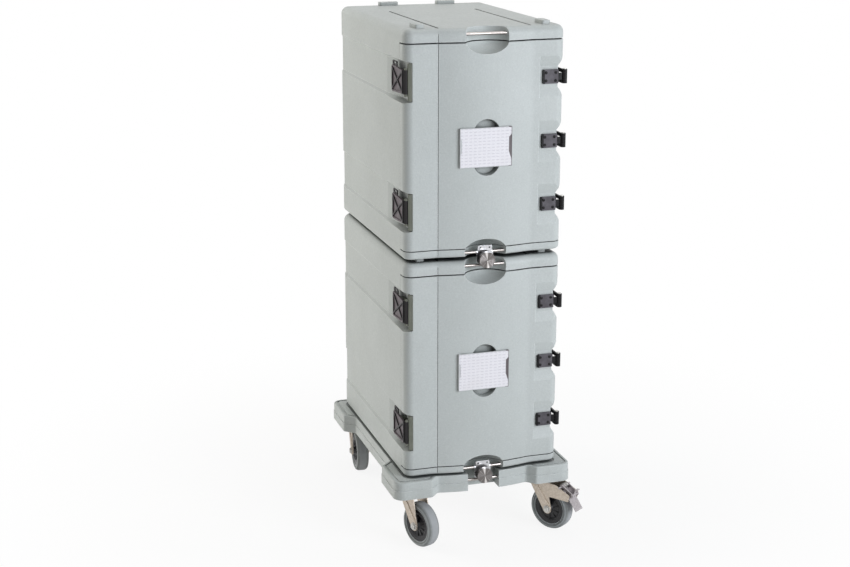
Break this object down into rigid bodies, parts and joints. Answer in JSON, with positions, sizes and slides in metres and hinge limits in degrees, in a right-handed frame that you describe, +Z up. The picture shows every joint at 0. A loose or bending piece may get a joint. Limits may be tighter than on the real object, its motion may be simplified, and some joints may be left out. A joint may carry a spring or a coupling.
{
  "type": "insulated food transport cart",
  "caption": "Insulated food transport cart: stacked front-loading containers with hinged, latched doors, clasped to each other and to a platform on swivel castors.",
  "frame": {"origin": "middle of the footprint, on the floor", "axes": "+Z up, -Y is the front with the doors, +X is the hinge side"},
  "size_m": [0.534, 0.7614, 1.424],
  "materials": {
    "body_plastic": "matte",
    "liner_plastic": "satin",
    "foam": "matte",
    "seal_rubber": "matte",
    "label_holder": "satin",
    "label_card": "satin",
    "hinge_plastic": "satin",
    "latch_plastic": "satin",
    "latch_bracket": "matte",
    "steel": "satin",
    "knob_steel": "satin",
    "dark_screws": "satin",
    "zinc": "polished",
    "fork_steel": "satin",
    "pedal_steel": "satin",
    "rim_plastic": "satin",
    "tyre": "matte"
  },
  "bodies": {
    "root": {"casing_lower": "body_plastic", "casing_upper": "body_plastic", "liner_lower": "liner_plastic", "liner_upper": "liner_plastic", "foam_cores": "foam", "hinge_frame_leaves": "hinge_plastic", "hinge_pins": "steel", "latch_strikes": "latch_bracket", "casing_screws": "dark_screws", "grab_rods": "steel", "clasp_straps": "steel", "dolly_deck": "body_plastic", "castor_plates": "zinc", "castor_bolts": "zinc"},
    "door_lower": {"door_skin_lower": "body_plastic", "door_liner_lower": "liner_plastic", "door_foam_lower": "foam", "door_gasket_lower": "seal_rubber", "label_holder_lower": "label_holder", "label_card_lower": "label_card", "hinge_door_leaves_lower": "hinge_plastic", "latch_brackets_lower": "latch_bracket", "latch_pins_lower": "steel", "door_screws_lower": "dark_screws"},
    "lever_low_lower": {"latch_lever_low_lower": "latch_plastic"},
    "lever_top_lower": {"latch_lever_top_lower": "latch_plastic"},
    "knob_lower": {"clasp_knob_lower": "knob_steel"},
    "door_upper": {"door_skin_upper": "body_plastic", "door_liner_upper": "liner_plastic", "door_foam_upper": "foam", "door_gasket_upper": "seal_rubber", "label_holder_upper": "label_holder", "label_card_upper": "label_card", "hinge_door_leaves_upper": "hinge_plastic", "latch_brackets_upper": "latch_bracket", "latch_pins_upper": "steel", "door_screws_upper": "dark_screws"},
    "lever_low_upper": {"latch_lever_low_upper": "latch_plastic"},
    "lever_top_upper": {"latch_lever_top_upper": "latch_plastic"},
    "knob_upper": {"clasp_knob_upper": "knob_steel"},
    "fork_front_left": {"castor_fork_front_left": "fork_steel", "castor_axle_front_left": "zinc"},
    "wheel_front_left": {"wheel_rim_front_left": "rim_plastic", "wheel_tyre_front_left": "tyre"},
    "fork_front_right": {"castor_fork_front_right": "fork_steel", "castor_axle_front_right": "zinc"},
    "wheel_front_right": {"wheel_rim_front_right": "rim_plastic", "wheel_tyre_front_right": "tyre"},
    "brake_front_right": {"brake_pedal_front_right": "pedal_steel"},
    "fork_rear_left": {"castor_fork_rear_left": "fork_steel", "castor_axle_rear_left": "zinc"},
    "wheel_rear_left": {"wheel_rim_rear_left": "rim_plastic", "wheel_tyre_rear_left": "tyre"},
    "fork_rear_right": {"castor_fork_rear_right": "fork_steel", "castor_axle_rear_right": "zinc"},
    "wheel_rear_right": {"wheel_rim_rear_right": "rim_plastic", "wheel_tyre_rear_right": "tyre"},
    "brake_rear_right": {"brake_pedal_rear_right": "pedal_steel"}
  },
  "joints": [
    {"name": "door_lower_hinge", "type": "hinge", "parent": "root", "child": "door_lower", "pos_m": [0.20924, -0.29329, 0.497], "axis": [0, 0, 1], "range_deg": [0, 225]},
    {"name": "lever_low_lower_pivot", "type": "hinge", "parent": "door_lower", "child": "lever_low_lower", "pos_m": [-0.22246, -0.28479, 0.328], "axis": [0, 0, 1], "range_deg": [0, 110]},
    {"name": "lever_top_lower_pivot", "type": "hinge", "parent": "door_lower", "child": "lever_top_lower", "pos_m": [-0.22246, -0.28479, 0.668], "axis": [0, 0, 1], "range_deg": [0, 110]},
    {"name": "knob_lower_turn", "type": "hinge", "parent": "root", "child": "knob_lower", "pos_m": [-0.01096, -0.32528, 0.192], "axis": [0, 1, 0], "range_deg": [0, 90]},
    {"name": "door_upper_hinge", "type": "hinge", "parent": "root", "child": "door_upper", "pos_m": [0.20924, -0.29329, 1.109], "axis": [0, 0, 1], "range_deg": [0, 225]},
    {"name": "lever_low_upper_pivot", "type": "hinge", "parent": "door_upper", "child": "lever_low_upper", "pos_m": [-0.22246, -0.28479, 0.94], "axis": [0, 0, 1], "range_deg": [0, 110]},
    {"name": "lever_top_upper_pivot", "type": "hinge", "parent": "door_upper", "child": "lever_top_upper", "pos_m": [-0.22246, -0.28479, 1.28], "axis": [0, 0, 1], "range_deg": [0, 110]},
    {"name": "knob_upper_turn", "type": "hinge", "parent": "root", "child": "knob_upper", "pos_m": [-0.01096, -0.32528, 0.804], "axis": [0, 1, 0], "range_deg": [0, 90]},
    {"name": "castor_front_left_swivel", "type": "hinge", "parent": "root", "child": "fork_front_left", "pos_m": [-0.20096, -0.26528, 0.1435], "axis": [0, 0, 1], "continuous": true},
    {"name": "wheel_front_left_spin", "type": "hinge", "parent": "fork_front_left", "child": "wheel_front_left", "pos_m": [-0.18734, -0.30076, 0.0625], "axis": [-0.9336, -0.3584, 0], "continuous": true},
    {"name": "castor_front_right_swivel", "type": "hinge", "parent": "root", "child": "fork_front_right", "pos_m": [0.17904, -0.26528, 0.1435], "axis": [0, 0, 1], "continuous": true},
    {"name": "wheel_front_right_spin", "type": "hinge", "parent": "fork_front_right", "child": "wheel_front_right", "pos_m": [0.20083, -0.29641, 0.0625], "axis": [-0.8192, -0.5736, 0], "continuous": true},
    {"name": "brake_front_right_pedal", "type": "hinge", "parent": "fork_front_right", "child": "brake_front_right", "pos_m": [0.2232, -0.32836, 0.135], "axis": [-0.8192, -0.5736, 0], "range_deg": [-10, 0]},
    {"name": "castor_rear_left_swivel", "type": "hinge", "parent": "root", "child": "fork_rear_left", "pos_m": [-0.20096, 0.32071, 0.1435], "axis": [0, 0, 1], "continuous": true},
    {"name": "wheel_rear_left_spin", "type": "hinge", "parent": "fork_rear_left", "child": "wheel_rear_left", "pos_m": [-0.20427, 0.28286, 0.0625], "axis": [-0.9962, 0.0872, 0], "continuous": true},
    {"name": "castor_rear_right_swivel", "type": "hinge", "parent": "root", "child": "fork_rear_right", "pos_m": [0.17904, 0.32071, 0.1435], "axis": [0, 0, 1], "continuous": true},
    {"name": "wheel_rear_right_spin", "type": "hinge", "parent": "fork_rear_right", "child": "wheel_rear_right", "pos_m": [0.18694, 0.28355, 0.0625], "axis": [-0.9781, -0.2079, 0], "continuous": true},
    {"name": "brake_rear_right_pedal", "type": "hinge", "parent": "fork_rear_right", "child": "brake_rear_right", "pos_m": [0.19505, 0.2454, 0.135], "axis": [-0.9781, -0.2079, 0], "range_deg": [-10, 0]}
  ]
}
